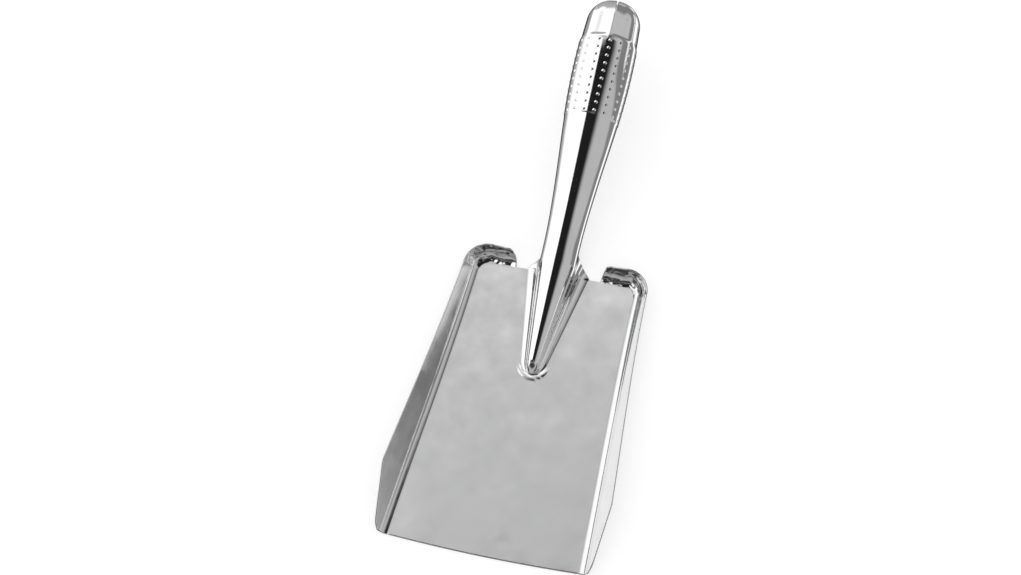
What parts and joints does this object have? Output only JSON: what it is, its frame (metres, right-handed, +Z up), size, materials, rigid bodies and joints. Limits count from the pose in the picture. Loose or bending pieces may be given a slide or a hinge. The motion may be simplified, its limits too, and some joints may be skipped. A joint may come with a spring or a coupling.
{
  "type": "ice scoop",
  "caption": "Hand scoop in one polished steel sheet: flat blade with splayed side walls and rear lips, pressed cone rib, and a rolled tube handle with a dotted grip.",
  "frame": {"origin": "middle of the flat underside of the blade", "axes": "+Y along the blade towards the handle, +X to the right seen from above with the handle away, +Z up out of the blade"},
  "size_m": [0.1164, 0.3051, 0.051],
  "materials": {
    "blade_steel": "polished stainless sheet, slightly hazed by use",
    "wall_steel": "polished stainless sheet",
    "lip_steel": "polished stainless sheet, slightly wavy",
    "neck_steel": "polished stainless sheet",
    "handle_steel": "polished stainless sheet",
    "dot_steel": "polished stainless sheet",
    "end_steel": "polished stainless sheet"
  },
  "bodies": {
    "root": {"blade_floor": "blade_steel", "left_side_wall": "wall_steel", "right_side_wall": "wall_steel", "left_rear_lip": "lip_steel", "right_rear_lip": "lip_steel", "neck_rib": "neck_steel", "handle_tube": "handle_steel", "grip_dots": "dot_steel", "end_petals": "end_steel"}
  },
  "joints": []
}
